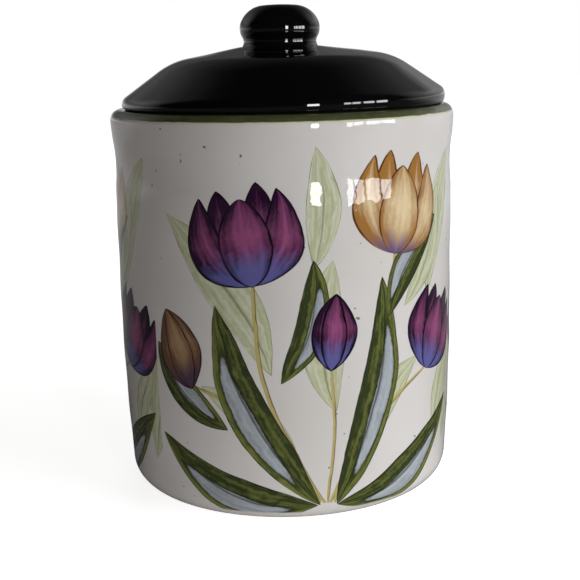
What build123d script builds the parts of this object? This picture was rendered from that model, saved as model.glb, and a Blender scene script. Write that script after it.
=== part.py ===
"""Lidded ceramic canister for olives, with a hand-formed jar, a domed lid, its knob and its seal.

Millimetres, +Z up, with the origin at the centre of the foot. Every piece is turned about Z from
a half section: the jar is one casting with a rounded heel, a gently waved wall and a rolled rim;
the lid is a shallow domed shell with a locating spigot that drops into the mouth; the hollow knob
is its own casting, stuck on the lid's flat land; a soft finned ring fills the gap between spigot
and mouth.
"""

import os
from math import radians, tan

from build123d import *

# Jar
belly_radius = 81.3  # outside of the wall where it stops widening
jar_height = 183.6  # foot to the top of the rim
wall = 7.5
floor_thickness = 7.5
heel_radius = 78.9
heel_height = 11.1
heel_reach = 9.8  # how far the rounded heel draws in
inside_corner = 14.0
foot_ring_width = 6.0
foot_recess = 2.0
rim_roll = 4.7  # round on the outside of the rim
mouth_round = 1.0  # round on the inside of the rim

# Waves of the hand-formed wall, out or in from the belly, and their places as shares of the jar's height
ring_swell = 0.25
neck_dip = 0.5
rim_swell = 1.2
belly_share = 0.528
ring_share = 0.808
neck_share = 0.875

# Lid
lid_overlap = 3.8  # how far the lid's foot reaches over the rim, past the mouth
lid_thickness = 6.0
foot_round = 1.4  # round on the under side of the lid's edge
edge_height = 4.25  # seat to where the edge would meet the flank
edge_lean = 0.05  # how much wider the edge is there than at its foot
edge_round = 5.2
edge_clearance = 0.1  # least straight left between the edge's two rounds
flank_height = 22.2  # seat to where the flank would meet the top
flank_reach = 24.7  # how far in from the lid's foot that is
shoulder_round = 27.0
dome_height = 28.0  # seat to the land that carries the knob
spigot_depth = 13.0
spigot_wall = 5.6
spigot_gap = 4.6  # between the spigot and the mouth
spigot_round = 1.2
vent_radius = 3.5

# Knob
knob_radius = 19.2
knob_height = 19.4
knob_foot_radius = 18.1
knob_wall = 8.3
knob_crown = 7.5

# Outline of the knob, as shares of its radius and of its height
waist_shares = (0.915, 0.152)
neck_shares = (0.942, 0.22)
belly_shares = (1.0, 0.425)
cheek_shares = (0.948, 0.63)
crown_shares = (0.41, 0.982)

# Seal
seal_band = 2.0
seal_height = 8.4
seal_groove = 1.2
seal_clearance = 0.1  # between the ring and its groove
seal_lip_clearance = 0.25  # between the fins' tips and the mouth
fin_count = 3
fin_root = 1.3
fin_tip = 0.7
fin_rise = 1.1
groove_drop = 2.4  # seat to the top of the groove

# One overrun serves every cut
overrun = 1.0

mouth_radius = belly_radius - wall
rim_radius = belly_radius + rim_swell
foot_radius = heel_radius - heel_reach
floor_top = foot_recess + floor_thickness
seat_height = jar_height
lid_radius = mouth_radius + lid_overlap
land_height = seat_height + dome_height
spigot_radius = mouth_radius - spigot_gap
spigot_bottom = seat_height - spigot_depth
bore_radius = spigot_radius - spigot_wall
ceiling_height = land_height - lid_thickness
groove_radius = spigot_radius - seal_groove
groove_top = seat_height - groove_drop
groove_height = seal_height + 2 * seal_clearance

upwards = (0, 1)
downwards = (0, -1)
outwards = (1, 0)


def turned(section):
    """The solid that a half section makes when it is turned about Z. Its points are (radius, height)."""
    return revolve(Plane.XZ * section, Axis.Z)


def face_of(*lines):
    """The face inside lines that close on themselves."""
    return make_face([edge for line in lines for edge in line.edges()])


def block(inner, outer, bottom, top):
    """The half section of a ring between two radii and two heights."""
    return face_of(Polyline((inner, bottom), (outer, bottom), (outer, top), (inner, top), close=True))


def chained(start, heading, *points):
    """Arcs through the points in order, each leaving along the one before it."""
    arcs = []
    for point in points:
        arcs.append(TangentArc(start, point, tangent=heading))
        start, heading = arcs[-1] @ 1, arcs[-1] % 1
    return arcs


def wave(low, high):
    """Two arcs from one swell or dip of the wall to the next, upright at both and meeting halfway."""
    middle = ((low[0] + high[0]) / 2, (low[1] + high[1]) / 2)
    return [TangentArc(low, middle, tangent=upwards), TangentArc(high, middle, tangent=downwards)]


def make_jar():
    """Jar: foot ring, rounded heel, waved wall, rolled rim, straight inside with a rounded corner."""
    foot_inner = foot_radius - foot_ring_width
    belly = (belly_radius, jar_height * belly_share)
    ring = (belly_radius + ring_swell, jar_height * ring_share)
    neck = (belly_radius - neck_dip, jar_height * neck_share)
    rim = (rim_radius, jar_height - rim_roll)
    lip = (rim_radius - rim_roll, jar_height)
    mouth_top = (mouth_radius + mouth_round, jar_height)
    mouth_side = (mouth_radius, jar_height - mouth_round)
    corner_top = (mouth_radius, floor_top + inside_corner)
    corner_foot = (mouth_radius - inside_corner, floor_top)
    return turned(
        face_of(
            *chained(belly, downwards, (heel_radius, heel_height), (foot_radius, 0)),
            *wave(belly, ring),
            *wave(ring, neck),
            *wave(neck, rim),
            TangentArc(rim, lip, tangent=upwards),
            Line(lip, mouth_top),
            TangentArc(mouth_side, mouth_top, tangent=upwards),
            Line(mouth_side, corner_top),
            TangentArc(corner_top, corner_foot, tangent=downwards),
            Polyline(
                corner_foot,
                (0, floor_top),
                (0, foot_recess),
                (foot_inner - foot_recess, foot_recess),
                (foot_inner, 0),
                (foot_radius, 0),
            ),
        )
    )


def round_room(start, corner, end):
    """The largest rounding of a corner that leaves the edge's clearance straight before it."""
    turn = Vector(*corner) - Vector(*start)
    bend = turn.get_angle(Vector(*end) - Vector(*corner))
    return (turn.length - edge_clearance) / tan(radians(bend) / 2)


def dome_skin():
    """The lid's outer skin: a rounded edge, a straight flank, a soft shoulder and a gentle rise to the land."""
    foot = (lid_radius, seat_height + foot_round)
    edge = (lid_radius + edge_lean, seat_height + edge_height)
    flank = (lid_radius - flank_reach, seat_height + flank_height)
    rounds = [min(edge_round, round_room(foot, edge, flank)), shoulder_round]
    return FilletPolyline(foot, edge, flank, (knob_foot_radius, land_height), radius=rounds)


def make_lid():
    """Lid: domed shell with a flat land for the knob, a spigot with the seal's groove, and a vent."""
    skin = dome_skin()
    outside = face_of(
        skin,
        Polyline(
            (knob_foot_radius, land_height),
            (0, land_height),
            (0, spigot_bottom),
            (spigot_radius - spigot_round, spigot_bottom),
            (spigot_radius, spigot_bottom + spigot_round),
            (spigot_radius, seat_height),
            (lid_radius - foot_round, seat_height),
        ),
        TangentArc(
            (lid_radius - foot_round, seat_height),
            (lid_radius, seat_height + foot_round),
            tangent=outwards,
        ),
    )
    under = offset(skin, lid_thickness, side=Side.LEFT, closed=False)
    below = spigot_bottom - overrun
    inner, outer = under @ 0, under @ 1
    hollow = face_of(under, Polyline(inner, (0, inner.Y), (0, below), (outer.X, below), outer))
    hollow &= block(0, bore_radius, below, ceiling_height)
    vent = block(0, vent_radius, ceiling_height - overrun, land_height + overrun)
    groove = block(groove_radius, spigot_radius + overrun, groove_top - groove_height, groove_top)
    return turned(outside - hollow - vent - groove)


def scaled(shares):
    """A point of the knob's outline from its shares of the knob's radius and height."""
    reach_share, rise_share = shares
    return (knob_radius * reach_share, land_height + knob_height * rise_share)


def make_knob():
    """Knob: a flattened ball with a waist, hollow and open below, standing on the lid's land."""
    foot = (knob_foot_radius, land_height)
    tip = (0, land_height + knob_height)
    crown = scaled(crown_shares)
    flare = ThreePointArc(foot, scaled(waist_shares), scaled(neck_shares))
    cheek = chained(scaled(belly_shares), upwards, scaled(cheek_shares), crown)
    outside = face_of(
        flare,
        TangentArc(scaled(belly_shares), scaled(neck_shares), tangent=downwards),
        *cheek,
        TangentArc(tip, crown, tangent=outwards),
        Polyline(tip, (0, land_height), foot),
    )
    hollow_radius = knob_radius - knob_wall
    hollow_top = land_height + knob_height - knob_crown
    spring = (hollow_radius, hollow_top - hollow_radius)
    below = land_height - overrun
    hollow = face_of(
        TangentArc(spring, (0, hollow_top), tangent=upwards),
        Polyline((0, hollow_top), (0, below), (hollow_radius, below), spring),
    )
    return turned(outside - hollow)


def make_seal():
    """Seal: a soft band in the spigot's groove with fins that reach for the mouth."""
    inner_radius = groove_radius + seal_clearance
    band_radius = inner_radius + seal_band
    tip_radius = mouth_radius - seal_lip_clearance
    bottom = groove_top - seal_clearance - seal_height
    pitch = seal_height / fin_count
    points = [(inner_radius, bottom), (band_radius, bottom)]
    for fin in range(fin_count):
        root = bottom + pitch * fin + (pitch - fin_root) / 2
        tip = root + fin_rise
        points += [
            (band_radius, root),
            (tip_radius, tip),
            (tip_radius, tip + fin_tip),
            (band_radius, root + fin_root),
        ]
    points += [(band_radius, bottom + seal_height), (inner_radius, bottom + seal_height)]
    return turned(face_of(Polyline(*points, close=True)))


os.makedirs("parts", exist_ok=True)
for name, piece in (
    ("jar", make_jar()),
    ("lid", make_lid()),
    ("lid_knob", make_knob()),
    ("lid_seal", make_seal()),
):
    piece.label = name
    export_step(piece, f"parts/{name}.step")
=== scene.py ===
"""Looks of the olive canister: a hand-formed cream-glazed jar with painted tulips and a green rim,
a gloss-black lid with its knob, and a pale silicone seal, on a plain pale floor.

Shapes are in millimetres until they become meshes, and every mesh is in metres in the row frame.
"""

from __future__ import annotations

import logging
import math
from abc import ABC, abstractmethod
from collections.abc import Callable, Iterable
from dataclasses import dataclass, field
from enum import Enum
from functools import cache

import bpy
from mathutils import Matrix, Vector


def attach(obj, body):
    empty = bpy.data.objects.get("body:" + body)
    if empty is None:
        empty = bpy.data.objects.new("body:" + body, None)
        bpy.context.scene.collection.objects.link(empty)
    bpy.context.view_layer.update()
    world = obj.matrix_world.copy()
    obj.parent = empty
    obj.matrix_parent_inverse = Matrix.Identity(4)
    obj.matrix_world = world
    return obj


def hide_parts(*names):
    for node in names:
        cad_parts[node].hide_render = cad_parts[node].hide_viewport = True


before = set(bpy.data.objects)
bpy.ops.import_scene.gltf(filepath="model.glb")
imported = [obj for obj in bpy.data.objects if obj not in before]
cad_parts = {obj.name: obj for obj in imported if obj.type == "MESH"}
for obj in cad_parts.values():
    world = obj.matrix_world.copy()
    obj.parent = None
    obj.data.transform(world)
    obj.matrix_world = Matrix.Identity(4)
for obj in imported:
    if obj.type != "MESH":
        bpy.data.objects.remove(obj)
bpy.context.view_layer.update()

log = logging.getLogger("canister")
MM = 0.001
Point = tuple[float, float]
Colour = tuple[float, float, float]
Waver = Callable[[float, float, float], Point]

# What counts as no length or no turn
NOTHING = 1e-6

# Headings of a half section
UP, DOWN, OUTWARDS, INWARDS = (0, 1), (0, -1), (1, 0), (-1, 0)

BLACK, WHITE = (0.0, 0.0, 0.0), (1.0, 1.0, 1.0)


def srgb(red: float, green: float, blue: float) -> Colour:
    """A colour as the renderer wants it.

    Args:
        red, green, blue: the colour as it is seen on a screen, 0 to 255.

    Returns:
        The same colour in linear light, 0 to 1.
    """

    def linear(level: float) -> float:
        """One channel in linear light."""
        level /= 255
        return level / 12.92 if level <= 0.04045 else ((level + 0.055) / 1.055) ** 2.4

    return linear(red), linear(green), linear(blue)


def faded(value: float, start: float, end: float) -> float:
    """A rise from 0 at start to 1 at end, level beyond both."""
    return min(1.0, max(0.0, (value - start) / (end - start)))


class Body(Enum):
    """The rigid bodies that pieces ride on."""

    JAR = "jar"
    LID = "lid"


class Slot(Enum):
    """The record's material slots that new pieces stand for."""

    CREAM = "cream_glaze"
    BLACK = "black_glaze"
    KNOB = "knob_glaze"


class Signal:
    """A number that a socket carries. Arithmetic on it adds Math nodes."""

    def __init__(self, board: Board, socket: bpy.types.NodeSocket) -> None:
        """Wraps an output socket of a board's tree."""
        self.board = board
        self.socket = socket

    def _math(self, operation: str, *values: Signal | float) -> Signal:
        """One Math node on the given values."""
        return self.board.number("ShaderNodeMath", {"operation": operation}, dict(enumerate(values)))

    def __add__(self, other: Signal | float) -> Signal:
        """self + other."""
        return self._math("ADD", self, other)

    __radd__ = __add__

    def __sub__(self, other: Signal | float) -> Signal:
        """self - other."""
        return self._math("SUBTRACT", self, other)

    def __rsub__(self, other: Signal | float) -> Signal:
        """other - self."""
        return self._math("SUBTRACT", other, self)

    def __mul__(self, other: Signal | float) -> Signal:
        """self * other."""
        return self._math("MULTIPLY", self, other)

    __rmul__ = __mul__

    def __truediv__(self, other: Signal | float) -> Signal:
        """self / other."""
        return self._math("DIVIDE", self, other)

    def __rtruediv__(self, other: Signal | float) -> Signal:
        """other / self."""
        return self._math("DIVIDE", other, self)

    def __pow__(self, other: Signal | float) -> Signal:
        """self to the power of other."""
        return self._math("POWER", self, other)

    def __rpow__(self, other: Signal | float) -> Signal:
        """other to the power of self."""
        return self._math("POWER", other, self)

    def __abs__(self) -> Signal:
        """The size of the number."""
        return self._math("ABSOLUTE", self)

    def scaled(self, factor: Signal | float, plus: Signal | float = 0.0) -> Signal:
        """self * factor + plus, in one node."""
        return self._math("MULTIPLY_ADD", self, factor, plus)

    def ramp(self, low: float, high: float) -> Signal:
        """A rise from 0 at low to 1 at high, level beyond both, or a fall where high is the lower."""
        rate = 1 / (high - low)
        return self.board.number("ShaderNodeClamp", None, {0: self.scaled(rate, -low * rate)})

    def at_least(self, other: Signal | float) -> Signal:
        """The larger of the two."""
        return self._math("MAXIMUM", self, other)

    def at_most(self, other: Signal | float) -> Signal:
        """The smaller of the two."""
        return self._math("MINIMUM", self, other)

    def sine(self) -> Signal:
        """The sine of the number."""
        return self._math("SINE", self)

    def rounded(self) -> Signal:
        """The nearest whole number."""
        return self._math("ROUND", self)


class Board:
    """The node tree of one finish. Every node comes from its node method."""

    def __init__(self, tree: bpy.types.NodeTree) -> None:
        """Clears the tree and takes it over."""
        self.tree = tree
        tree.nodes.clear()

    def node(self, kind: str, settings: dict | None = None, inputs: dict | None = None) -> bpy.types.Node:
        """Adds a node.

        Args:
            kind: the node's type.
            settings: its properties, which are set first.
            inputs: what its sockets take, by name or number: a Signal, an output socket or a value.

        Returns:
            The node.
        """
        node = self.tree.nodes.new(kind)
        for name, value in (settings or {}).items():
            setattr(node, name, value)
        for key, value in (inputs or {}).items():
            socket = node.inputs[key]
            value = value.socket if isinstance(value, Signal) else value
            if isinstance(value, bpy.types.NodeSocket):
                self.tree.links.new(value, socket)
            elif isinstance(value, tuple) and socket.type == "RGBA" and len(value) == 3:
                socket.default_value = (*value, 1.0)
            else:
                socket.default_value = value
        return node

    def number(
        self, kind: str, settings: dict | None = None, inputs: dict | None = None, output: int | str = 0
    ) -> Signal:
        """Adds a node and returns one of its outputs as a number."""
        return Signal(self, self.node(kind, settings, inputs).outputs[output])

    def mix(self, under: Signal | Colour, over: Signal | Colour, share: Signal | float) -> Signal:
        """Two colours mixed, from all under at share 0 to all over at share 1."""
        settings = {"data_type": "RGBA", "clamp_factor": True}
        return self.number("ShaderNodeMix", settings, {0: share, 6: under, 7: over}, 2)

    def spot(self, kind: str = "Object") -> Signal:
        """The point that is looked at, as a vector."""
        return self.number("ShaderNodeTexCoord", output=kind)

    def axes(self, vector: Signal) -> tuple[Signal, Signal, Signal]:
        """A vector's three numbers."""
        split = self.node("ShaderNodeSeparateXYZ", None, {"Vector": vector})
        return tuple(Signal(self, socket) for socket in split.outputs)

    def rays(self, *kinds: str) -> tuple[Signal, ...]:
        """For each kind of ray, 1 where the ray that looks is of that kind and 0 elsewhere."""
        path = self.node("ShaderNodeLightPath")
        return tuple(Signal(self, path.outputs[f"Is {kind} Ray"]) for kind in kinds)

    def noise(self, place: Signal, scale: float, detail: float = 2.0) -> Signal:
        """Smooth noise from 0 to 1 at a place, scale being its lumps per unit."""
        sockets = {"Vector": place, "Scale": scale, "Detail": detail, "Roughness": 0.5}
        return self.number("ShaderNodeTexNoise", {"noise_dimensions": "3D"}, sockets, "Fac")

    def surface(self, sockets: dict, bump: Signal, depth: float) -> None:
        """Ends the tree in a Principled shader.

        Args:
            sockets: what the shader's sockets take, by name.
            bump: the height that its normal follows.
            depth: how high the bump stands at a height of 1, in metres.
        """
        height = {"Height": bump, "Distance": depth, "Strength": 1.0}
        normal = self.node("ShaderNodeBump", None, height).outputs["Normal"]
        shader = self.node("ShaderNodeBsdfPrincipled", None, {**sockets, "Normal": normal})
        self.node("ShaderNodeOutputMaterial", None, {"Surface": shader.outputs["BSDF"]})


def new_board(name: str) -> tuple[bpy.types.Material, Board]:
    """Makes a new material.

    Args:
        name: what it is called.

    Returns:
        The material, and the board of its tree.
    """
    material = bpy.data.materials.new(name)
    material.use_nodes = True
    return material, Board(material.node_tree)


@dataclass(frozen=True)
class Trace:
    """Where a point lies on a painted shape."""

    edge: Signal
    """How far inside the outline, in millimetres."""
    along: Signal
    """0 at the base, 1 at the tip."""
    side: Signal
    """-1 at the left edge, 0 at the spine, 1 at the right edge."""


@dataclass(frozen=True)
class Blade:
    """A leaf, petal or stem shape on the unrolled wall, in millimetres."""

    base: Point
    tip: Point
    half_width: float
    bend: float = 0.0
    """How far the spine bows to the right, seen from base to tip."""
    fullness: float = 0.9
    """1 is pointed at both ends, 0.5 is an oval, and 0.15 is a stroke of even width."""
    skew: float = 0.0
    """Above 0 the widest part is nearer to the base."""

    def sockets(self) -> dict[str, float | Point]:
        """Works out what a paint's group takes, so that its maths finds this shape.

        Returns:
            The values, by the group's sockets.
        """
        length = math.dist(self.base, self.tip)
        us, ut = ((b - a) / length for a, b in zip(self.base, self.tip))
        start = self.base[0] * us + self.base[1] * ut
        offset = self.base[0] * ut - self.base[1] * us
        return {
            "Spine": (us / length, ut / length, -start / length),
            "Cross": (ut, -us, -offset),
            "Bend": -4 * self.bend,
            "Width": self.half_width * 4**self.fullness,
            "Fullness": self.fullness,
            "Skew": -2 * self.skew,
        }


@dataclass(frozen=True)
class Wall:
    """What every brush mark needs to know about the point that is being painted."""

    place: Signal
    """Millimetres round the wall and above the foot, and 1, as a vector."""
    mid: Signal
    """Noise with lumps about 8 mm wide."""
    fine: Signal
    """Noise with lumps about 2 mm wide."""

    def bristles(self, trace: Trace, phase: Signal) -> Signal:
        """Draws the lines that a brush's hairs leave along a shape.

        Args:
            trace: the point's place on the shape.
            phase: shifts the lines, so that no two shapes match.

        Returns:
            The lines, from about -1 to 1.
        """
        coarse = (trace.side.scaled(8.0, phase) + self.mid * 9.0).sine()
        thin = (trace.side.scaled(21.0, phase) + self.fine * 7.0).sine()
        return coarse.scaled(0.55, thin * 0.4)

    def line(self, edge: Signal, thin: float, thick: float) -> Signal:
        """Draws a brushed outline just inside an edge.

        Args:
            edge: how far inside the edge the point is, in millimetres.
            thin: about the line's least weight.
            thick: about its greatest weight.

        Returns:
            How much the line covers, 0 to 1.
        """
        spread = thick - thin
        weight = self.mid.scaled(spread * 2.2, thin - spread * 0.6)
        return (weight - edge).ramp(-0.15, 0.3)


class Paint(ABC):
    """A way to paint a shape. Its maths is one node group, used for every shape that it paints."""

    @abstractmethod
    def stroke(self, board: Board, wall: Wall, trace: Trace, phase: Signal, accent: Signal) -> Signal:
        """The paint's colour.

        Args:
            board: the group's board.
            wall: the point that is painted.
            trace: the point's place on the shape.
            phase: shifts the bristle lines, so that no two shapes match.
            accent: the side of a leaf's pale patch, or how much a petal glows.

        Returns:
            The colour of the paint there.
        """

    def cover(self, trace: Trace) -> Signal:
        """How much of what is under the paint it hides."""
        return trace.edge.ramp(0.02, 0.3)

    def lay(
        self, board: Board, wall: Wall, canvas: Signal, blade: Blade, phase: float, accent: float = 1.0
    ) -> Signal:
        """Paints one shape over what is there.

        Args:
            board: the finish's board.
            wall: the point that is painted.
            canvas: the colour under the shape.
            blade: the shape.
            phase: as in stroke.
            accent: as in stroke.

        Returns:
            The colour with the shape on it.
        """
        given = {"Canvas": canvas, "Place": wall.place, "Mid": wall.mid, "Fine": wall.fine}
        given |= {"Phase": phase, "Accent": accent} | blade.sockets()
        return board.number("ShaderNodeGroup", {"node_tree": group_of(self)}, given)


@cache
def group_of(paint: Paint) -> bpy.types.NodeTree:
    """Builds the node group that does a paint's maths, once for each paint.

    Args:
        paint: the paint.

    Returns:
        The group.
    """
    tree = bpy.data.node_groups.new(f"paint_{type(paint).__name__}", "ShaderNodeTree")
    board = Board(tree)
    kinds = {"Canvas": "Color", "Place": "Vector", "Spine": "Vector", "Cross": "Vector"}
    floats = ("Mid", "Fine", "Bend", "Width", "Fullness", "Skew", "Phase", "Accent")
    for name, kind in (kinds | dict.fromkeys(floats, "Float")).items():
        tree.interface.new_socket(name=name, in_out="INPUT", socket_type=f"NodeSocket{kind}")
    tree.interface.new_socket(name="Colour", in_out="OUTPUT", socket_type="NodeSocketColor")
    entry = board.node("NodeGroupInput")
    given = {socket.name: Signal(board, socket) for socket in entry.outputs if socket.name}
    dot = {"operation": "DOT_PRODUCT"}
    along, across = (
        board.number("ShaderNodeVectorMath", dot, {0: given["Place"], 1: given[way]}, "Value")
        for way in ("Spine", "Cross")
    )
    spread = along * along.scaled(-1.0, 1.0)
    across = spread.scaled(given["Bend"], across)
    half = spread.at_least(1e-5) ** given["Fullness"] * given["Width"]
    half = half * (along - 0.5).scaled(given["Skew"], 1.0)
    trace = Trace(half - abs(across), along, across / half)
    wall = Wall(given["Place"], given["Mid"], given["Fine"])
    body = paint.stroke(board, wall, trace, given["Phase"], given["Accent"])
    painted = board.mix(given["Canvas"], body, paint.cover(trace) * spread.ramp(0.0, 0.004))
    board.node("NodeGroupOutput", None, {0: painted})
    return tree


@dataclass(frozen=True)
class LeafPaint(Paint):
    """Green paint of a strong leaf, with a pale patch beside its vein."""

    light: Colour = srgb(118, 124, 62)
    dark: Colour = srgb(54, 62, 34)
    patch: Colour = srgb(176, 182, 190)
    line: Colour = srgb(38, 42, 24)
    patch_side: float = 0.27
    patch_place: float = 0.47
    patch_size: float = 0.38
    """The patch's middle, as shares of the leaf's half width and of its length, and its half width."""
    vein_side: float = -0.03
    vein_half: float = 0.06

    def stroke(self, board: Board, wall: Wall, trace: Trace, phase: Signal, accent: Signal) -> Signal:
        """The paint's colour.

        Args:
            board, wall, trace, phase, accent: as in Paint.stroke.

        Returns:
            The colour of the paint there.
        """
        bristles = wall.bristles(trace, phase)
        turn = trace.side * accent
        body = board.mix(self.dark, self.light, bristles.scaled(0.5, turn.scaled(0.45, 0.42)))
        across, along = abs(turn - self.patch_side), abs(trace.along - self.patch_place) * 1.3
        ragged = wall.fine.scaled(0.08, self.patch_size) - (across * across + along * along) ** 0.5
        body = board.mix(body, self.line, ragged.ramp(-0.1, -0.03) * 0.75)
        body = board.mix(body, self.patch, ragged.ramp(-0.01, 0.05) * bristles.scaled(0.18, 0.82))
        vein = (self.vein_half - abs(turn - self.vein_side)).ramp(-0.02, 0.03)
        body = board.mix(body, self.line, vein * 0.7)
        return board.mix(body, self.line, wall.line(trace.edge, 0.25, 1.0))


@dataclass(frozen=True)
class GhostPaint(Paint):
    """Thin pale wash of a leaf in the background, with a fine outline."""

    wash: Colour = srgb(180, 184, 144)
    pale: Colour = srgb(208, 209, 186)
    line: Colour = srgb(104, 106, 66)
    vein_half: float = 0.05

    def stroke(self, board: Board, wall: Wall, trace: Trace, phase: Signal, accent: Signal) -> Signal:
        """The paint's colour.

        Args:
            board, wall, trace, phase: as in Paint.stroke. accent: not used.

        Returns:
            The colour of the paint there.
        """
        bristles = wall.bristles(trace, phase)
        body = board.mix(self.wash, self.pale, bristles.scaled(0.6, 0.45))
        vein = (self.vein_half - abs(trace.side)).ramp(-0.03, 0.02) * trace.along.ramp(0.95, 0.6)
        body = board.mix(body, self.line, vein * 0.55)
        return board.mix(body, self.line, wall.line(trace.edge, 0.1, 0.75) * 0.9)


@dataclass(frozen=True)
class StemPaint(Paint):
    """Ochre paint of a stem with a brown line along its sides."""

    body: Colour = srgb(186, 172, 112)
    line: Colour = srgb(112, 88, 52)

    def stroke(self, board: Board, wall: Wall, trace: Trace, phase: Signal, accent: Signal) -> Signal:
        """The paint's colour.

        Args:
            board, wall, trace: as in Paint.stroke. phase, accent: not used.

        Returns:
            The colour of the paint there.
        """
        shade = abs(trace.side + wall.mid.scaled(1.6, -0.5)).ramp(0.55, 1.0)
        return board.mix(self.body, self.line, shade * 0.9)


@dataclass(frozen=True)
class PetalPaint(Paint):
    """Paint of a flower head: dark rim, glowing middle and a cool foot."""

    line: Colour
    dark: Colour
    glow: Colour
    foot: Colour
    foot_share: float
    glow_place: float = 0.56
    glow_side: float = 0.08

    def stroke(self, board: Board, wall: Wall, trace: Trace, phase: Signal, accent: Signal) -> Signal:
        """The paint's colour.

        Args:
            board, wall, trace, phase, accent: as in Paint.stroke.

        Returns:
            The colour of the paint there.
        """
        bristles = wall.bristles(trace, phase)
        crown = abs(trace.along - self.glow_place).scaled(-1.5, accent)
        across = abs(trace.side - self.glow_side)
        shade = across.scaled(-0.9, bristles.scaled(0.22, crown)).ramp(-0.25, 0.72)
        body = board.mix(self.dark, self.glow, shade)
        foot = trace.along.scaled(-1.0, bristles.scaled(0.06, self.foot_share)).ramp(-0.08, 0.16)
        inner = abs(trace.side).ramp(0.95, 0.6)
        body = board.mix(body, self.foot, foot * inner * 0.9)
        return board.mix(body, self.line, wall.line(trace.edge, 0.5, 1.5))


GHOST, STEM, LEAF = GhostPaint(), StemPaint(), LeafPaint()
AUBERGINE = PetalPaint(srgb(16, 8, 24), srgb(44, 18, 46), srgb(150, 78, 122), srgb(98, 98, 160), 0.36)
OCHRE = PetalPaint(srgb(92, 52, 34), srgb(160, 112, 54), srgb(226, 204, 164), srgb(96, 84, 132), 0.2)
RUSSET = PetalPaint(srgb(58, 34, 36), srgb(110, 78, 58), srgb(176, 142, 106), srgb(70, 56, 84), 0.3)


@dataclass(frozen=True)
class Tulip:
    """A closed tulip head of five petals, standing on its stem."""

    foot: Point
    height: float
    width: float
    lean: float
    """Degrees to the right of upright."""
    paint: PetalPaint

    def place(self, across: float, up: float) -> Point:
        """Finds a point of the head.

        Args:
            across: its place from the middle, as a share of the width.
            up: its place above the foot, as a share of the height.

        Returns:
            The point on the unrolled wall, in millimetres.
        """
        turn = math.radians(self.lean)
        x, y = across * self.width, up * self.height
        return (
            self.foot[0] + x * math.cos(turn) + y * math.sin(turn),
            self.foot[1] - x * math.sin(turn) + y * math.cos(turn),
        )

    def petals(self) -> Iterable[tuple[Blade, float]]:
        """Shapes the petals.

        Returns:
            The petals from the back to the front, each with how much it glows.
        """
        w = self.width
        yield Blade(self.place(-0.06, 0.06), self.place(-0.2, 0.98), w * 0.19, -w * 0.05, 0.75), 0.3
        yield Blade(self.place(0.06, 0.06), self.place(0.22, 1.0), w * 0.19, w * 0.05, 0.75), 0.35
        yield Blade(self.place(-0.03, 0.0), self.place(-0.4, 0.93), w * 0.21, -w * 0.2, 0.72, 0.12), 0.6
        yield Blade(self.place(0.03, 0.0), self.place(0.42, 0.9), w * 0.21, w * 0.2, 0.72, 0.12), 0.75
        yield Blade(self.place(0.0, -0.01), self.place(0.02, 0.86), w * 0.29, w * 0.01, 0.66, 0.1), 0.95


@dataclass(frozen=True)
class Bud:
    """A closed bud of three petals."""

    foot: Point
    tip: Point
    width: float
    paint: PetalPaint

    def petals(self) -> Iterable[tuple[Blade, float]]:
        """The petals from the back to the front, each with how much it glows."""
        for bend, light in ((-0.22, 0.45), (0.22, 0.55), (0.0, 0.85)):
            yield Blade(self.foot, self.tip, self.width * 0.3, self.width * bend, 0.72, 0.15), light


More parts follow.
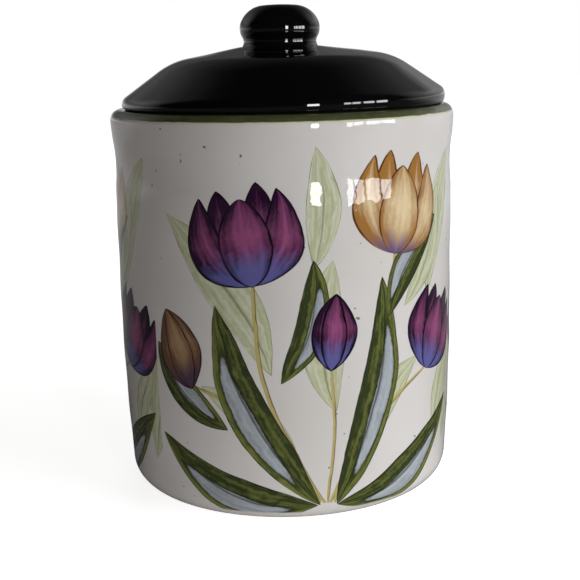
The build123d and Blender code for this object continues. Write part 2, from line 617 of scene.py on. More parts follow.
@dataclass(frozen=True)
class Bouquet:
    """One repeat of the painted pattern: a traditional spray of tulips, buds and strap leaves."""

    ghosts: tuple[Blade, ...] = (
        Blade((-24, 70), (-74, 140), 10.5, 6.0),
        Blade((4, 52), (2, 122), 9.5, -5.0),
        Blade((56, 100), (82, 164), 9.5, -5.0),
        Blade((40, 96), (66, 150), 7.5, 5.0),
        Blade((14, 26), (48, 72), 8.5, -6.0),
        Blade((-14, 24), (-58, 64), 8.5, 6.0),
        Blade((-6, 118), (-4, 170), 7.5, 4.0),
        Blade((80, 22), (88, 88), 8.5, 3.0),
        Blade((66, 30), (82, 70), 7.0, -3.0),
    )
    stems: tuple[Blade, ...] = (
        Blade((-1, 9), (-33, 112), 1.3, -9.0, 0.15),
        Blade((1, 9), (34, 124), 1.3, 7.0, 0.15),
        Blade((3, 9), (58, 66), 1.15, -10.0, 0.15),
        Blade((-3, 9), (-64, 64), 1.15, 10.0, 0.15),
        Blade((0, 9), (2, 74), 1.0, 2.0, 0.15),
    )
    leaves: tuple[tuple[Blade, float], ...] = (
        (Blade((-3, 8), (-50, 102), 10.5, -10.0, 0.85, 0.03), -1.0),
        (Blade((4, 8), (27, 112), 10.0, 9.0, 0.85, 0.03), 1.0),
        (Blade((4, 8), (82, 46), 10.0, 10.0, 0.85), 1.0),
        (Blade((-4, 8), (-82, 38), 9.5, -10.0, 0.85), -1.0),
        (Blade((-20, 66), (-6, 122), 7.6, 6.0, 0.85), 1.0),
        (Blade((30, 92), (64, 136), 8.0, -6.0, 0.85), -1.0),
        (Blade((-46, 44), (-84, 82), 7.6, -4.0, 0.85), 1.0),
    )
    heads: tuple[Tulip | Bud, ...] = (
        Bud((-63, 62), (-77, 98), 23.0, RUSSET),
        Bud((2, 72), (4, 106), 20.0, AUBERGINE),
        Tulip((57, 64), 40.0, 36.0, 22.0, AUBERGINE),
        Tulip((-33, 110), 45.0, 43.0, -9.0, AUBERGINE),
        Tulip((34, 122), 44.0, 42.0, 8.0, OCHRE),
    )

    def strokes(self) -> Iterable[tuple[Paint, Blade, float]]:
        """Gathers the shapes.

        Returns:
            Every shape from the back to the front, with its paint and accent.
        """
        yield from ((GHOST, ghost, 1.0) for ghost in self.ghosts)
        yield from ((STEM, stem, 1.0) for stem in self.stems)
        yield from ((LEAF, leaf, side) for leaf, side in self.leaves)
        yield from ((head.paint, petal, light) for head in self.heads for petal, light in head.petals())

    def lay(self, board: Board, wall: Wall, canvas: Signal) -> Signal:
        """Paints the whole spray over what is there.

        Args:
            board: the finish's board.
            wall: the point that is painted.
            canvas: the colour under the spray.

        Returns:
            The colour with the spray on it.
        """
        for index, (paint, blade, accent) in enumerate(self.strokes()):
            canvas = paint.lay(board, wall, canvas, blade, 1.7 * index % math.tau, accent)
        return canvas


@dataclass(frozen=True)
class CreamGlaze:
    """Glossy warm white glaze with the painted pattern, the green rim and a bare foot ring."""

    cream: Colour = srgb(217, 213, 210)
    shade: Colour = srgb(210, 203, 197)
    rim: Colour = srgb(86, 89, 56)
    rim_dark: Colour = srgb(62, 66, 42)
    fringe: Colour = srgb(206, 206, 168)
    clay: Colour = srgb(186, 170, 146)
    speck: Colour = srgb(92, 86, 84)
    repeats: int = 3
    turn: float = 0.035
    """How far the first spray stands to the right of the front, as a share of a turn."""
    wall_radius: float = 81.3
    painted_foot: Point = (4.5, 5.5)
    painted_top: Point = (179.0, 178.0)
    painted_side: Point = (74.8, 75.3)
    """Heights and radii over which the painting fades in, in millimetres."""
    fringe_foot: Point = (179.3, 180.3)
    rim_foot: Point = (180.45, 180.8)
    rim_side: Point = (74.9, 75.5)
    bare_foot: Point = (0.9, 0.5)
    bare_side: Point = (62.8, 63.2)
    """The same for the pale fringe, for the green rim and for the bare foot."""
    slow_lumps: float = 24.0
    mid_lumps: float = 110.0
    fine_lumps: float = 480.0
    speck_lumps: float = 420.0
    """How many lumps each noise has in a metre."""
    clouds: Point = (0.35, 0.75)
    speck_cut: Point = (0.84, 0.865)
    """Where in the noise the cream turns darker, and where it turns to a speck."""
    wander: float = 5.0
    tremble: float = 1.0
    rim_tremble: float = 0.8
    """How far the brush strays over a few centimetres and over one, and at the rim, in millimetres."""
    gloss: float = 0.01
    dryness: float = 0.8
    """The glaze's least roughness, and how much rougher the bare clay is."""
    depth: float = 0.0006
    """How high the glaze ripples, in metres."""

    def build(self) -> bpy.types.Material:
        """Builds the finish.

        Returns:
            Its material.
        """
        material, board = new_board("cream_glaze_painted")
        x, y, z = board.axes(board.spot())
        place = board.number("ShaderNodeCombineXYZ", None, {"X": x, "Y": y, "Z": z})
        lumps = {"Vector": place, "Scale": self.slow_lumps, "Detail": 1.0}
        drift = board.node("ShaderNodeTexNoise", None, lumps)
        split = board.node("ShaderNodeSeparateColor", None, {"Color": drift.outputs["Color"]})
        wide, high, slow = (Signal(board, split.outputs[name]) for name in ("Red", "Green", "Blue"))
        mid = board.noise(place, self.mid_lumps)
        fine = board.noise(place, self.fine_lumps)
        radius = (x * x + y * y) ** 0.5 * (1 / MM)
        height = z * (1 / MM)
        around = board.number("ShaderNodeMath", {"operation": "ARCTAN2"}, {0: x, 1: 0 - y})
        cell = around.scaled(self.repeats / math.tau, -self.turn * self.repeats)
        pitch = math.tau * self.wall_radius / self.repeats
        trembling = self.strayed(mid, self.tremble)
        warped = {
            "X": (cell - cell.rounded()) * pitch + self.strayed(wide, self.wander) + trembling,
            "Y": height + self.strayed(high, self.wander),
            "Z": 1.0,
        }
        wall = Wall(board.number("ShaderNodeCombineXYZ", None, warped), mid, fine)
        canvas = board.mix(self.cream, self.shade, slow.ramp(*self.clouds) * 0.5)
        specks = board.noise(place, self.speck_lumps, 0.0)
        canvas = board.mix(canvas, self.speck, specks.ramp(*self.speck_cut) * 0.8)
        painted = Bouquet().lay(board, wall, canvas)
        outside = height.ramp(*self.painted_foot) * height.ramp(*self.painted_top)
        body = board.mix(canvas, painted, radius.ramp(*self.painted_side) * outside)
        ragged = height + self.strayed(mid, self.rim_tremble)
        body = board.mix(body, self.fringe, ragged.ramp(*self.fringe_foot) * 0.7)
        green = board.mix(self.rim_dark, self.rim, mid.scaled(1.4, fine.scaled(0.8, -0.6)))
        band = ragged.ramp(*self.rim_foot) * radius.ramp(*self.rim_side)
        body = board.mix(body, green, band)
        bare = height.ramp(*self.bare_foot) * radius.ramp(*self.bare_side)
        body = board.mix(body, board.mix(self.clay, self.shade, fine), bare)
        gloss = slow.scaled(0.02, fine.scaled(0.015, self.gloss))
        sockets = {
            "Base Color": body,
            "Roughness": bare.scaled(self.dryness, gloss),
            "Specular IOR Level": 0.5,
            "IOR": 1.6,
        }
        board.surface(sockets, slow.scaled(0.7, mid * 0.3), self.depth)
        return material

    @staticmethod
    def strayed(noise: Signal, reach: float) -> Signal:
        """Noise from 0 to 1 as millimetres to either side, over a reach in all."""
        return noise.scaled(reach, -reach / 2)


@dataclass(frozen=True)
class BlackGlaze:
    """Deep gloss-black glaze, faintly rippled, a little browner in slow patches."""

    black: Colour = srgb(5, 5, 6)
    brown: Colour = srgb(12, 10, 9)
    lumps: tuple[float, float, float] = (16.0, 70.0, 420.0)
    """How many lumps the slow, the middle and the fine noise have in a metre."""
    gloss: float = 0.015
    """Its least roughness."""
    depth: float = 0.00035
    """How high the glaze ripples, in metres."""
    name: str = "black_glaze"

    def build(self) -> bpy.types.Material:
        """Builds the finish.

        Returns:
            Its material.
        """
        material, board = new_board(self.name)
        place = board.spot()
        slow = board.noise(place, self.lumps[0], 1.0)
        mid, fine = (board.noise(place, lumps) for lumps in self.lumps[1:])
        sockets = {
            "Base Color": board.mix(self.black, self.brown, slow.ramp(0.4, 0.8)),
            "Roughness": mid.scaled(0.03, fine.scaled(0.02, self.gloss)),
            "Specular IOR Level": 0.5,
            "IOR": 1.7,
        }
        board.surface(sockets, slow.scaled(0.6, mid * 0.4), self.depth)
        return material


@dataclass(frozen=True)
class Silicone:
    """Cloudy white silicone of the seal, matt with fine dust in it."""

    milk: Colour = srgb(212, 211, 205)
    dust: Colour = srgb(190, 187, 178)
    lumps: Point = (40.0, 900.0)
    """How many lumps the slow and the fine noise have in a metre."""
    roughness: Point = (0.42, 0.62)
    depth: float = 0.00008
    """How high its grain stands, in metres."""

    def build(self) -> bpy.types.Material:
        """Builds the finish.

        Returns:
            Its material.
        """
        material, board = new_board("seal_silicone")
        place = board.spot()
        slow, fine = (board.noise(place, lumps) for lumps in self.lumps)
        least, most = self.roughness
        sockets = {
            "Base Color": board.mix(self.milk, self.dust, slow.scaled(0.7, fine * 0.4)),
            "Roughness": fine.scaled(most - least, least),
            "Specular IOR Level": 0.4,
            "Subsurface Weight": 0.25,
            "Subsurface Radius": (0.004, 0.004, 0.0035),
            "Subsurface Scale": 1.0,
        }
        board.surface(sockets, fine, self.depth)
        return material


class Outline:
    """A half section drawn point by point, as (radius, height) in millimetres."""

    def __init__(self, start: Point) -> None:
        """Starts the outline at a point."""
        self.points = [start]

    def line(self, end: Point, steps: int = 1) -> Outline:
        """Adds a straight run to a point.

        Args:
            end: where it ends.
            steps: how many pieces it is cut into.

        Returns:
            The outline, for the next run.
        """
        (ax, ay), (bx, by) = self.points[-1], end
        for i in range(1, steps + 1):
            self.points.append((ax + (bx - ax) * i / steps, ay + (by - ay) * i / steps))
        return self

    def arc(self, end: Point, heading: Point, steps: int, arrives: bool = False) -> Outline:
        """Adds an arc to a point.

        Args:
            end: where it ends.
            heading: the way it goes at its start, or at its end if it arrives on the heading.
            steps: how many pieces it is cut into.
            arrives: whether the heading is the one at the end.

        Returns:
            The outline, for the next run.
        """
        x, y = self.points[-1]
        if arrives:
            back = Outline(end).arc((x, y), (-heading[0], -heading[1]), steps)
            self.points += back.points[-2::-1]
            return self
        chord = math.dist((x, y), end)
        first = math.atan2(heading[1], heading[0])
        half = (math.atan2(end[1] - y, end[0] - x) - first + math.pi) % math.tau - math.pi
        for i in range(1, steps + 1):
            turn = half * i / steps
            reach = chord * (math.sin(turn) / math.sin(half) if abs(half) > NOTHING else i / steps)
            self.points.append((x + reach * math.cos(first + turn), y + reach * math.sin(first + turn)))
        return self

    def heading(self) -> Point:
        """The way that the last piece goes."""
        (ax, ay), (bx, by) = self.points[-2:]
        return bx - ax, by - ay

    def wave(self, end: Point, steps: int) -> Outline:
        """Adds two arcs to a point, upright at both ends and meeting halfway.

        Args:
            end: where they end.
            steps: how many pieces each is cut into.

        Returns:
            The outline, for the next run.
        """
        a = self.points[-1]
        middle = ((a[0] + end[0]) / 2, (a[1] + end[1]) / 2)
        return self.arc(middle, UP, steps).arc(end, UP, steps, arrives=True)

    def corner(self, at: Point, radius: float, towards: Point, steps: int) -> Outline:
        """Adds a straight run to a rounded corner, and the rounding.

        Args:
            at: where the corner would be if it were sharp.
            radius: its rounding.
            towards: where the outline goes on to after it.
            steps: how many pieces the rounding is cut into.

        Returns:
            The outline, for the next run.
        """
        (ax, ay), (cx, cy), (bx, by) = self.points[-1], at, towards
        back, ahead = math.dist((ax, ay), at), math.dist((bx, by), at)
        ux, uy, vx, vy = (ax - cx) / back, (ay - cy) / back, (bx - cx) / ahead, (by - cy) / ahead
        reach = radius / math.tan(math.acos(ux * vx + uy * vy) / 2)
        self.line((cx + ux * reach, cy + uy * reach))
        return self.arc((cx + vx * reach, cy + vy * reach), (-ux, -uy), steps)


def steady(angle: float, radius: float, height: float) -> Point:
    """No unevenness at all."""
    return 0.0, 0.0


@dataclass(frozen=True)
class Lathe:
    """Turns a closed half section into a mesh."""

    segments: int

    def turn(self, name: str, points: list[Point], waver: Waver = steady) -> bpy.types.Object:
        """Turns an outline about Z.

        Args:
            name: the piece's name.
            points: the outline, in millimetres, whose last point joins the first.
            waver: what the hand adds, as (out, up) in millimetres at an angle, a radius and a height.

        Returns:
            The new object, in metres.
        """
        vertices: list[tuple[float, float, float]] = []
        rings: list[list[int]] = []
        for r, z in points:
            count = 1 if r < NOTHING else self.segments
            rings.append(list(range(len(vertices), len(vertices) + count)))
            for i in range(count):
                angle = math.tau * i / self.segments
                out, up = waver(angle, r, z)
                reach = (r + out) * MM
                vertices.append((reach * math.cos(angle), reach * math.sin(angle), (z + up) * MM))
        faces: list[tuple[int, ...]] = []
        for low, high in zip(rings, rings[1:] + rings[:1]):
            for i in range(self.segments):
                j = (i + 1) % self.segments
                if len(low) == 1 and len(high) == 1:
                    continue
                if len(low) == 1:
                    faces.append((low[0], high[j], high[i]))
                elif len(high) == 1:
                    faces.append((low[i], low[j], high[0]))
                else:
                    faces.append((low[i], low[j], high[j], high[i]))
        mesh = bpy.data.meshes.new(name)
        mesh.from_pydata(vertices, [], faces)
        smooth(mesh, 32)
        mesh.update()
        piece = bpy.data.objects.new(name, mesh)
        bpy.context.scene.collection.objects.link(piece)
        return piece


def smooth(mesh: bpy.types.Mesh, sharp: float) -> None:
    """Shades a mesh smooth, but for the edges that turn by more than a number of degrees."""
    mesh.polygons.foreach_set("use_smooth", [True] * len(mesh.polygons))
    mesh.set_sharp_from_angle(angle=math.radians(sharp))


def mount(
    piece: bpy.types.Object, finish: bpy.types.Material, body: Body, slot: Slot, node: str
) -> bpy.types.Object:
    """Dresses a piece and puts it on its body.

    Args:
        piece: the piece.
        finish: its material.
        body: the body that it rides on.
        slot: the record's slot that its finish comes from; not used.
        node: the CAD node that it stands for.

    Returns:
        The piece.
    """
    piece.data.materials.append(finish)
    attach(piece, body.value)
    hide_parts(node)
    log.info("%s rides on %s", piece.name, body.value)
    return piece


@dataclass
class JarBody:
    """The ceramic jar: foot ring, rounded heel, hand-waved wall, rolled rim and straight inside."""

    belly: Point = (81.3, 96.94)
    heel: Point = (78.9, 11.1)
    foot: float = 69.1
    ring: Point = (81.55, 143.5)
    neck: Point = (80.8, 156.5)
    rim: Point = (82.5, 178.9)
    height: float = 183.6
    roll: float = 4.7
    mouth: float = 73.8
    mouth_round: float = 1.0
    corner: float = 14.0
    floor: float = 9.5
    ring_width: float = 6.0
    recess: float = 2.0
    foot_round: float = 0.7
    recess_round: float = 3.0
    foot_edge: float = 0.4
    free_radius: float = 74.5
    """Inside it the wall is true."""
    swells: tuple[tuple[float, int, float, float], ...] = (
        (0.16, 2, 0.7, 0.01),
        (0.1, 3, 2.0, 0.03),
        (0.06, 5, 0.0, 0.05),
    )
    """How far the wall strays, in how many lobes, their phase, and their twist for each millimetre."""
    segments: int = 224
    glaze: CreamGlaze = field(default_factory=CreamGlaze)

    def outline(self) -> list[Point]:
        """Draws the half section.

        Returns:
            Its points, from the foot's outer edge up the outside, down the inside and across the foot.
        """
        inner, middle = self.foot - self.ring_width, 20.0
        wall = Outline(self.belly).arc(self.heel, DOWN, steps=44)
        wall.arc((self.foot, 0.0), wall.heading(), steps=14)
        path = Outline(wall.points[-1])
        path.points += wall.points[-2::-1]
        path.wave(self.ring, steps=14).wave(self.neck, steps=9).wave(self.rim, steps=8)
        path.arc((self.rim[0] - self.roll, self.height), UP, steps=12)
        path.line((self.mouth + self.mouth_round, self.height))
        path.arc((self.mouth, self.height - self.mouth_round), INWARDS, steps=5)
        path.line((self.mouth, self.floor + self.corner), steps=20)
        path.arc((self.mouth - self.corner, self.floor), DOWN, steps=12)
        path.line((middle, self.floor), steps=8).line((0.0, self.floor)).line((0.0, self.recess))
        path.line((middle, self.recess)).line((inner - self.recess_round, self.recess), steps=6)
        path.arc((inner, self.foot_round), OUTWARDS, steps=6)
        path.line((inner, 0.0)).line((self.foot - self.foot_edge, 0.0), steps=3)
        return path.points

    def waver(self, angle: float, radius: float, height: float) -> Point:
        """Gives the hand's unevenness, which fades out inside, at the foot and at the rim's seat.

        Args:
            angle: the point's place round the axis.
            radius, height: its place on the half section, in millimetres.

        Returns:
            How far out and up it moves, in millimetres.
        """
        if radius < self.free_radius:
            return steady(angle, radius, height)
        out = 0.1 * math.sin(height * 0.21 + 0.8 * math.sin(angle))
        for size, lobes, phase, twist in self.swells:
            out += size * math.sin(lobes * angle + phase + height * twist)
        return out * faded(height, 4, 22) * faded(height, 182, 174), 0.0

    def build(self) -> bpy.types.Object:
        """Builds and dresses the jar."""
        piece = Lathe(self.segments).turn("jar_body", self.outline(), self.waver)
        return mount(piece, self.glaze.build(), Body.JAR, Slot.CREAM, "jar")


@dataclass
class Lid:
    """The domed lid: rolled edge, straight flank, soft shoulder, land, spigot and seal groove."""

    seat: float = 183.6
    reach: float = 77.5
    foot_round: float = 2.2
    edge: Point = (78.0, 188.8)
    edge_round: float = 4.4
    flank: Point = (52.9, 206.1)
    flank_end: float = 14.0
    """How far before the shoulder's corner the flank's run of small pieces stops."""
    shoulder_round: float = 36.0
    land: Point = (18.1, 211.6)
    shell: float = 6.0
    spigot: float = 69.2
    bore: float = 63.6
    spigot_foot: float = 170.6
    spigot_round: float = 1.2
    groove: float = 68.0
    groove_top: float = 181.2
    groove_height: float = 8.6
    vent: float = 3.5
    free_radius: float = 20.0
    """Inside it the lid isn't warped."""
    segments: int = 224
    glaze: BlackGlaze = field(default_factory=BlackGlaze)

    def skin(self, inset: float) -> Outline:
        """The dome's skin from its edge to its land.

        Args:
            inset: how far it lies inside the outer skin.

        Returns:
            The skin, as an open outline.
        """
        slope = math.atan2(self.flank[1] - self.edge[1], self.edge[0] - self.flank[0])
        rise = math.atan2(self.land[1] - self.flank[1], self.flank[0] - self.land[0])
        middle, shift = (slope + rise) / 2, inset / math.cos((slope - rise) / 2)
        top = (self.land[0], self.land[1] - inset / math.cos(rise))
        flank = (self.flank[0] - shift * math.sin(middle), self.flank[1] - shift * math.cos(middle))
        if inset:
            path = Outline((self.bore, flank[1] - (self.bore - flank[0]) * math.tan(slope)))
        else:
            path = Outline((self.reach, self.seat + self.foot_round))
            path.corner(self.edge, self.edge_round, flank, steps=12)
        x, y = path.points[-1]
        share = self.flank_end / math.dist((x, y), flank)
        path.line((flank[0] + (x - flank[0]) * share, flank[1] + (y - flank[1]) * share), steps=12)
        path.corner(flank, self.shoulder_round - inset, top, steps=18)
        return path.line(top, steps=10)

    def outline(self) -> list[Point]:
        """Draws the half section.

        Returns:
            Its points, from the foot over the dome, through the vent and round the spigot.
        """
        path = self.skin(0.0)
        path.line((self.vent, self.land[1]), steps=3).line((self.vent, self.land[1] - self.shell))
        path.points += self.skin(self.shell).points[::-1]
        path.line((self.bore, self.spigot_foot))
        path.line((self.spigot - self.spigot_round, self.spigot_foot))
        path.arc((self.spigot, self.spigot_foot + self.spigot_round), OUTWARDS, steps=4)
        path.line((self.spigot, self.groove_top - self.groove_height))
        path.line((self.groove, self.groove_top - self.groove_height)).line((self.groove, self.groove_top))
        path.line((self.spigot, self.groove_top)).line((self.spigot, self.seat))
        path.line((self.reach - self.foot_round, self.seat), steps=3)
        path.arc((self.reach, self.seat + self.foot_round), OUTWARDS, steps=6)
        return path.points[:-1]

    def waver(self, angle: float, radius: float, height: float) -> Point:
        """Warps the skirt: low at the left, shifted to the front and right, none near the knob.

        Args:
            angle: the point's place round the axis.
            radius, height: its place on the half section, in millimetres.

        Returns:
            How far out and up it moves, in millimetres.
        """
        if height < self.seat - 0.1 or radius < self.free_radius:
            return steady(angle, radius, height)
        near = faded(radius, self.free_radius, self.free_radius + 16)
        rise = near * faded(height, 184, 187)
        reach = max(rise, near * faded(radius, 70, 74))
        out = math.cos(angle + 0.6) + 0.1 * math.sin(3 * angle + 1.0)
        up = 1.15 * radius / 77 * math.cos(angle) + 0.1 * math.sin(2 * angle + 0.4)
        return out * reach, up * rise

    def build(self) -> bpy.types.Object:
        """Builds and dresses the lid."""
        piece = Lathe(self.segments).turn("lid_dome", self.outline(), self.waver)
        return mount(piece, self.glaze.build(), Body.LID, Slot.BLACK, "lid")


@dataclass
class Knob:
    """The hollow knob: a flared foot, a waist, a full belly and a nearly flat crown."""

    foot: Point = (18.1, 211.6)
    waist: Point = (17.57, 214.55)
    neck: Point = (18.09, 215.87)
    belly: Point = (19.2, 219.85)
    cheek: Point = (18.2, 223.82)
    crown: Point = (7.87, 230.65)
    top: float = 231.0
    hollow: float = 10.9
    hollow_top: float = 223.5
    foot_edge: float = 0.5
    segments: int = 128
    glaze: BlackGlaze = field(default_factory=lambda: BlackGlaze(depth=0.0002, name="knob_glaze"))

    def flare(self, steps: int) -> list[Point]:
        """Draws the concave run from the foot to the neck, on the circle that passes the waist too.

        Args:
            steps: how many pieces it is cut into.

        Returns:
            Its points.
        """
        (ax, ay), (bx, by), (cx, cy) = self.foot, self.waist, self.neck
        d = 2 * (ax * (by - cy) + bx * (cy - ay) + cx * (ay - by))
        sa, sb, sc = ax * ax + ay * ay, bx * bx + by * by, cx * cx + cy * cy
        ox = (sa * (by - cy) + sb * (cy - ay) + sc * (ay - by)) / d
        oy = (sa * (cx - bx) + sb * (ax - cx) + sc * (bx - ax)) / d
        radius = math.dist((ox, oy), self.foot)
        first, last = (math.atan2(p[1] - oy, p[0] - ox) % math.tau for p in (self.foot, self.neck))
        angles = [first + (last - first) * i / steps for i in range(steps + 1)]
        return [(ox + radius * math.cos(a), oy + radius * math.sin(a)) for a in angles]

    def outline(self) -> list[Point]:
        """Draws the half section.

        Returns:
            Its points, from the foot's outer edge up the outside to the tip, and down the hollow.
        """
        path = Outline(self.foot)
        path.points = self.flare(steps=12)
        path.arc(self.belly, UP, steps=10, arrives=True)
        path.arc(self.cheek, UP, steps=10)
        path.arc(self.crown, path.heading(), steps=10)
        path.arc((0.0, self.top), INWARDS, steps=24, arrives=True)
        path.line((0.0, self.hollow_top))
        path.arc((self.hollow, self.hollow_top - self.hollow), OUTWARDS, steps=10)
        path.line((self.hollow, self.foot[1])).line((self.foot[0] - self.foot_edge, self.foot[1]))
        return path.points

    def build(self) -> bpy.types.Object:
        """Builds and dresses the knob."""
        piece = Lathe(self.segments).turn("knob_body", self.outline())
        return mount(piece, self.glaze.build(), Body.LID, Slot.KNOB, "lid_knob")


@dataclass
class Seal:
    """The finned silicone ring, which keeps its CAD shape."""

    finish: Silicone = field(default_factory=Silicone)

    def build(self) -> bpy.types.Object:
        """Dresses the seal's node.

        Returns:
            The node's object.
        """
        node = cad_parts["lid_seal"]
        node.data.materials.clear()
        node.data.materials.append(self.finish.build())
        smooth(node.data, 30)
        log.info("lid_seal keeps its node")
        return node


@dataclass(frozen=True)
class Pane:
    """One lit window pane or softbox."""

    name: str
    azimuth: float
    """Degrees to the right of the way from the jar to the camera."""
    elevation: float
    distance: float
    size: Point
    """Width and height in metres."""
    strength: float
    """Watts for each square metre of pane."""
    mirrored: bool = True
    """Whether it shows in the glaze."""
    colour: Colour = (0.96, 0.985, 1.0)

    def build(self, aim: Vector) -> None:
        """Hangs the pane so that it faces a point.

        Args:
            aim: the point, in metres.
        """
        lamp = bpy.data.lights.new(self.name, "AREA")
        lamp.shape = "RECTANGLE"
        lamp.size, lamp.size_y = self.size
        lamp.energy = self.strength * self.size[0] * self.size[1]
        lamp.color = self.colour
        holder = bpy.data.objects.new(self.name, lamp)
        turn, rise = math.radians(self.azimuth), math.radians(self.elevation)
        way = Vector((math.sin(turn) * math.cos(rise), -math.cos(turn) * math.cos(rise), math.sin(rise)))
        holder.location = aim + way * self.distance
        holder.rotation_euler = way.to_track_quat("Z", "Y").to_euler()
        holder.visible_glossy = self.mirrored
        bpy.context.scene.collection.objects.link(holder)


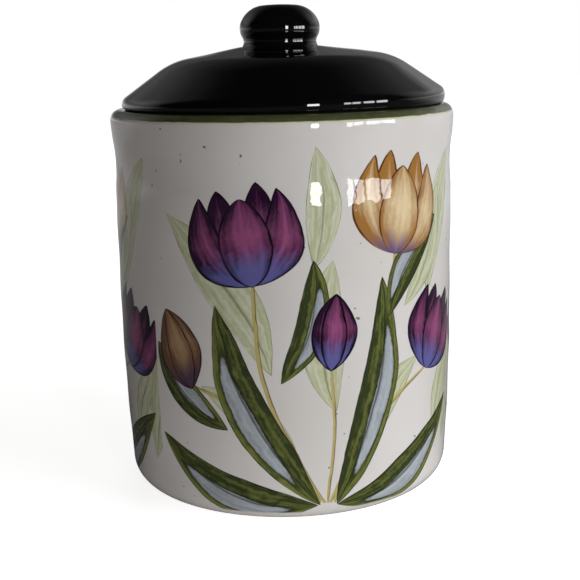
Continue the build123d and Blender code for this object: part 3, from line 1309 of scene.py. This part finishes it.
@dataclass
class Studio:
    """Plain pale floor and surroundings, soft window light from the right, and the camera."""

    floor_size: float = 12.0
    floor_colour: Colour = (0.82, 0.82, 0.82)
    floor_glow: Point = (0.8, 1.0)
    """How white the camera sees the floor by itself, near the jar and far from it."""
    glow_reach: Point = (0.2, 1.2)
    bounce: Point = (0.09, 0.71)
    """How much light the floor throws on the jar, from its left and from its right."""
    bounce_reach: Point = (0.27, 0.11)
    bounce_right: Point = (0.0, 0.1)
    bounce_front: Point = (-0.03, -0.13)
    front_share: float = 0.7
    """Where that light sets in, in metres away, to the right and to the front, and the front's share."""
    floor_image: Point = (0.05, 0.5)
    """The floor as the glaze mirrors it, near and far."""
    backdrop_image: float = 0.9
    wall_image: Point = (0.05, 0.41)
    veil_image: Point = (0.03, 0.7)
    room_image: float = 0.008
    """The room behind as the glaze mirrors it: backdrop, wall (left, right), veil and all the rest."""
    ambient: float = 0.09
    warmth: Colour = (1.0, 0.87, 0.79)
    aim: tuple[float, float, float] = (0.0, 0.0, 0.13)
    """What the panes face."""
    panes: tuple[Pane, ...] = (
        Pane("window_narrow", 20.0, 5.0, 1.6, (0.2, 0.54), 42.0),
        Pane("window_low_1", 43.5, 4.0, 1.6, (0.13, 0.44), 24.0),
        Pane("window_low_2", 50.0, 4.0, 1.6, (0.17, 0.44), 24.0),
        Pane("window_low_3", 59.5, 4.0, 1.6, (0.24, 0.44), 24.0),
        Pane("window_low_4", 70.0, 4.0, 1.6, (0.26, 0.44), 24.0),
        Pane("window_high_1", 46.5, 19.0, 1.6, (0.3, 0.3), 22.0, False),
        Pane("window_high_2", 64.5, 19.0, 1.6, (0.5, 0.3), 22.0, False),
        Pane("soft_side", 80.0, 48.0, 2.0, (1.4, 1.2), 1.6, False),
        Pane("soft_back", 180.0, 22.0, 2.0, (1.2, 0.9), 9.0, False),
    )
    eye: tuple[float, float, float] = (0.0, -0.5776, 0.21315)
    pitch: float = 11.869
    yaw: float = 0.216
    roll: float = -1.256
    focal: float = 1178.24
    """Focal length in pixels of a picture 580 pixels wide."""
    picture: int = 580
    sensor: float = 36.0

    def floor(self) -> None:
        """A floor that looks white but keeps the object's shadow."""
        mesh = bpy.data.meshes.new("floor")
        half = self.floor_size / 2
        corners = [(x * half, y * half, 0) for x, y in ((-1, -1), (1, -1), (1, 1), (-1, 1))]
        mesh.from_pydata(corners, [], [(0, 1, 2, 3)])
        mesh.materials.append(self.floor_finish())
        floor = bpy.data.objects.new("floor", mesh)
        bpy.context.scene.collection.objects.link(floor)

    def floor_finish(self) -> bpy.types.Material:
        """Builds the floor's finish: a pale matt ground that glows as far as each kind of ray needs it to.

        Returns:
            Its material.
        """
        material, board = new_board("floor_pale")
        camera, glossy, through, diffuse = board.rays("Camera", "Glossy", "Transmission", "Diffuse")
        spot = board.spot()
        right, back, _ = board.axes(spot)
        away = board.number("ShaderNodeVectorMath", {"operation": "LENGTH"}, {0: spot}, "Value")
        near, far = self.floor_glow
        seen = camera + (glossy + through).at_most(1.0) * (1 - camera) * 0.1
        white = seen * away.ramp(*self.glow_reach).scaled(far - near, near)
        left, full = self.bounce
        side = right.ramp(*self.bounce_right).at_least(back.ramp(*self.bounce_front) * self.front_share)
        bounce = diffuse * away.ramp(*self.bounce_reach) * side.scaled(full - left, left)
        glow = board.node("ShaderNodeEmission", None, {"Color": board.mix(BLACK, WHITE, white + bounce)})
        shade = board.node("ShaderNodeBsdfDiffuse", None, {"Color": self.floor_colour})
        both = board.node("ShaderNodeAddShader", None, {0: shade.outputs[0], 1: glow.outputs[0]})
        dark, pale = ((level, level, level) for level in self.floor_image)
        image = board.node("ShaderNodeEmission", None, {"Color": board.mix(dark, pale, back.ramp(0.1, 0.9))})
        shaders = {0: glossy * (1 - camera), 1: both.outputs[0], 2: image.outputs[0]}
        floor = board.node("ShaderNodeMixShader", None, shaders)
        board.node("ShaderNodeOutputMaterial", None, {"Surface": floor.outputs[0]})
        return material

    def surroundings(self) -> None:
        """White all round for the camera, a soft warm light, and for gloss a room behind the jar.

        The room has a white backdrop low behind, a dimmer wall above it, and a faint veil at the sides.
        """
        world = bpy.data.worlds.new("surroundings")
        bpy.context.scene.world = world
        world.use_nodes = True
        board = Board(world.node_tree)
        camera, glossy, through = board.rays("Camera", "Glossy", "Transmission")
        right, back, height = board.axes(board.spot("Generated"))
        low = back.ramp(-0.1, 0.5) * height.ramp(0.36, 0.0) ** 4 * self.backdrop_image
        left, full = self.wall_image
        high = back.ramp(0.45, 0.7) * height.ramp(0.5, 0.34) ** 1.5
        high = high * right.ramp(0.0, 0.45).scaled(full - left, left)
        least, rise = self.veil_image
        veil = back.ramp(0.1, 0.5) * height.ramp(0.9, 0.55) * height.ramp(0.02, 0.3)
        veil = veil * (right * right * rise + least)
        mirrored = low.at_least(high) + veil + self.room_image
        gloss = (glossy + through).at_most(1.0)
        number = {"data_type": "FLOAT"}
        strength = board.number("ShaderNodeMix", number, {0: gloss, 2: self.ambient, 3: mirrored})
        strength = board.number("ShaderNodeMix", number, {0: camera, 2: strength, 3: 1.0})
        colour = board.mix(self.warmth, WHITE, (camera + gloss).at_most(1.0))
        glow = board.node("ShaderNodeBackground", None, {"Color": colour, "Strength": strength})
        board.node("ShaderNodeOutputWorld", None, {"Surface": glow.outputs[0]})

    def camera(self) -> None:
        """The camera at the photograph's viewing angle."""
        pitch, yaw, roll = (math.radians(a) for a in (self.pitch, self.yaw, self.roll))
        ahead = Vector((math.sin(yaw) * math.cos(pitch), math.cos(yaw) * math.cos(pitch), -math.sin(pitch)))
        right = ahead.cross(Vector((0, 0, 1))).normalized()
        up = right.cross(ahead)
        across = right * math.cos(roll) + up * math.sin(roll)
        above = up * math.cos(roll) - right * math.sin(roll)
        lens = bpy.data.cameras.new("camera")
        lens.sensor_width = self.sensor
        lens.lens = self.focal * self.sensor / self.picture
        lens.clip_start = 0.01
        lens.dof.use_dof = False
        holder = bpy.data.objects.new("camera", lens)
        turn = Matrix((across, above, -ahead)).transposed()
        holder.matrix_world = Matrix.Translation(self.eye) @ turn.to_4x4()
        bpy.context.scene.collection.objects.link(holder)
        bpy.context.scene.camera = holder

    def build(self) -> None:
        """Sets the stage."""
        bpy.context.scene.view_settings.view_transform = "Standard"
        self.floor()
        self.surroundings()
        for pane in self.panes:
            pane.build(Vector(self.aim))
        self.camera()


def main() -> None:
    """Builds the canister and its studio, and logs how many vertices each piece has."""
    logging.basicConfig(level=logging.INFO, format="%(name)s: %(message)s")
    for part in (JarBody(), Lid(), Knob(), Seal()):
        piece = part.build()
        log.info("%s: %d vertices", piece.name, len(piece.data.vertices))
    Studio().build()
    bpy.context.view_layer.update()


if __name__ == "__main__":
    main()
